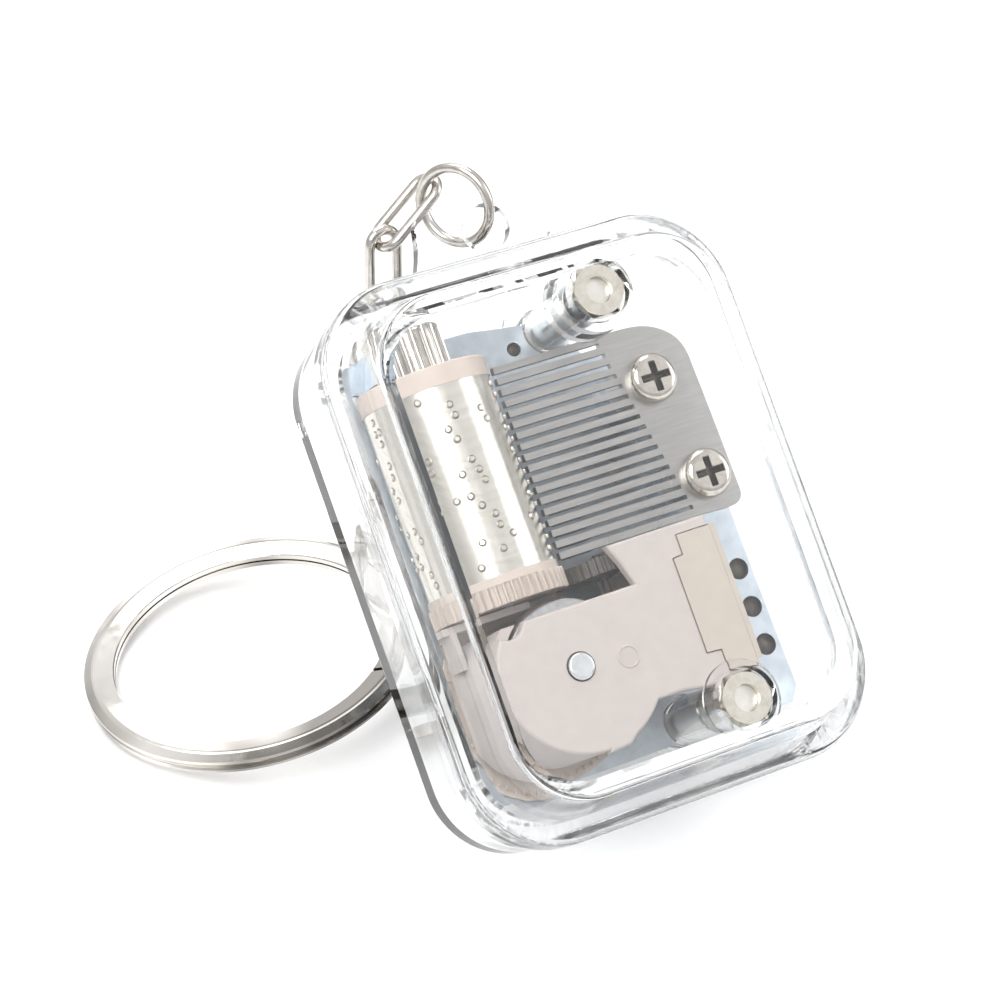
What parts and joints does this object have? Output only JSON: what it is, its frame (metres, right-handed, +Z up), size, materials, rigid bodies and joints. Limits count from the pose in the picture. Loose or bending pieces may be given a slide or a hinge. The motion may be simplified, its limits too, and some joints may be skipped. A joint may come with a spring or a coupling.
{
  "type": "cylinder music box",
  "caption": "Keychain music box: clear two-piece case leaning on its winding key, pinned cylinder and steel comb movement inside, chain from a lug to a split key ring.",
  "frame": {"origin": "centre of the bounding box in X and Y, at the surface the object rests on", "axes": "+X across the case to the right seen from its front, +Z up, front of the case faces -Y and leans back 46 degrees from upright onto the winding key"},
  "size_m": [0.072, 0.072, 0.0579],
  "materials": {
    "clear_front": "clear polished acrylic",
    "clear_back": "clear polished acrylic",
    "screw_nickel": "nickel plated",
    "nut_nickel": "nickel plated, turned face",
    "cast_zinc": "cast, slightly blue grey",
    "comb_steel": "ground spring steel",
    "lead": "dull",
    "comb_screw": "nickel plated pan head",
    "housing_plastic": "satin moulded plastic",
    "cover_plastic": "satin moulded plastic, slightly yellower",
    "rivet_steel": "rolled head",
    "cylinder_metal": "drawn metal with embossed pins",
    "cap_plastic": "satin moulded plastic",
    "gear_plastic": "satin moulded plastic",
    "arbor_steel": "turned",
    "barrel_metal": "drawn sheet",
    "dark_plastic": "moulded plastic",
    "spring_steel": "blued strip",
    "key_nickel": "nickel plated",
    "chain_nickel": "nickel plated wire",
    "ring_nickel": "nickel plated strip"
  },
  "bodies": {
    "case": {"front_cover": "clear_front", "back_cover": "clear_back", "case_screw_upper": "screw_nickel", "case_screw_lower": "screw_nickel", "case_nut_upper": "nut_nickel", "case_nut_lower": "nut_nickel", "movement_screw_1": "screw_nickel", "movement_screw_2": "screw_nickel", "movement_screw_3": "screw_nickel", "bedplate": "cast_zinc", "comb": "comb_steel", "comb_weights": "lead", "comb_screw_1": "comb_screw", "comb_screw_2": "comb_screw", "gear_housing": "housing_plastic", "governor_cover": "cover_plastic", "housing_rivet": "rivet_steel"},
    "cylinder": {"cylinder_tube": "cylinder_metal", "cylinder_end_cap": "cap_plastic", "cylinder_gear": "gear_plastic", "cylinder_arbor": "arbor_steel"},
    "barrel": {"spring_barrel": "barrel_metal", "barrel_gear": "dark_plastic", "mainspring": "spring_steel"},
    "winder": {"winding_arbor": "arbor_steel", "key_stem": "key_nickel", "key_wing": "key_nickel"},
    "governor": {"governor_wheel": "dark_plastic"},
    "fan": {"fan_shaft": "arbor_steel", "air_brake": "dark_plastic"},
    "jump_ring": {"jump_ring": "chain_nickel"},
    "link_1": {"link_1": "chain_nickel"},
    "link_2": {"link_2": "chain_nickel"},
    "link_3": {"link_3": "chain_nickel"},
    "link_4": {"link_4": "chain_nickel"},
    "link_5": {"link_5": "chain_nickel"},
    "end_link": {"end_link": "chain_nickel"},
    "key_ring": {"key_ring": "ring_nickel"}
  },
  "joints": [
    {"name": "barrel_spin", "type": "hinge", "parent": "case", "child": "barrel", "pos_m": [0.0024, -0.01971, 0.01939], "axis": [0, 0.6947, -0.7193], "continuous": true},
    {"name": "cylinder_spin", "type": "hinge", "parent": "case", "child": "cylinder", "pos_m": [-0.0004, -0.0043, 0.0351], "axis": [0, 0.7193, 0.6947], "continuous": true},
    {"name": "governor_wheel_spin", "type": "hinge", "parent": "case", "child": "governor", "pos_m": [0.01116, -0.01324, 0.02564], "axis": [0, 0.7193, 0.6947], "continuous": true},
    {"name": "fan_spin", "type": "hinge", "parent": "case", "child": "fan", "pos_m": [0.01738, -0.01827, 0.02078], "axis": [0, 0.7193, 0.6947], "continuous": true},
    {"name": "key_turn", "type": "hinge", "parent": "case", "child": "winder", "pos_m": [0.0024, -0.00999, 0.00932], "axis": [0, 0.6947, -0.7193], "continuous": true},
    {"name": "jump_ring_swing", "type": "hinge", "parent": "case", "child": "jump_ring", "pos_m": [0.01315, 0.01657, 0.05164], "axis": [0, 0.6947, -0.7193], "range_deg": [-3, 12]},
    {"name": "link_1_swing", "type": "hinge", "parent": "jump_ring", "child": "link_1", "pos_m": [0.00893, 0.02368, 0.05289], "axis": [0.153, 0.1583, 0.9755], "range_deg": [-14, 1.5]},
    {"name": "link_2_swing", "type": "hinge", "parent": "link_1", "child": "link_2", "pos_m": [0.00411, 0.02337, 0.04897], "axis": [-0.1123, 0.983, -0.1452], "range_deg": [-5, 4]},
    {"name": "link_3_swing", "type": "hinge", "parent": "link_2", "child": "link_3", "pos_m": [0.00337, 0.02204, 0.04052], "axis": [-0.9925, -0.0737, 0.0977], "range_deg": [-12, 8]},
    {"name": "link_4_swing", "type": "hinge", "parent": "link_3", "child": "link_4", "pos_m": [0.00264, 0.02071, 0.03207], "axis": [0.063, -0.9867, 0.1501], "range_deg": [-12, 12]},
    {"name": "link_5_swing", "type": "hinge", "parent": "link_4", "child": "link_5", "pos_m": [0.00191, 0.01938, 0.02362], "axis": [0.9956, 0.0246, -0.0902], "range_deg": [-12, 12]},
    {"name": "end_link_swing", "type": "hinge", "parent": "link_5", "child": "end_link", "pos_m": [0.00118, 0.01805, 0.01517], "axis": [-0.0134, 0.9879, -0.1546], "range_deg": [-12, 12]},
    {"name": "key_ring_swing", "type": "hinge", "parent": "end_link", "child": "key_ring", "pos_m": [0.00044, 0.01671, 0.00672], "axis": [0, 1, 0], "range_deg": [-10, 35]}
  ],
  "couplings": [
    {"joint": "cylinder_spin", "follows": "barrel_spin", "ratio": -1.4783},
    {"joint": "governor_wheel_spin", "follows": "barrel_spin", "ratio": 1.8889},
    {"joint": "fan_spin", "follows": "barrel_spin", "ratio": -8.5}
  ]
}
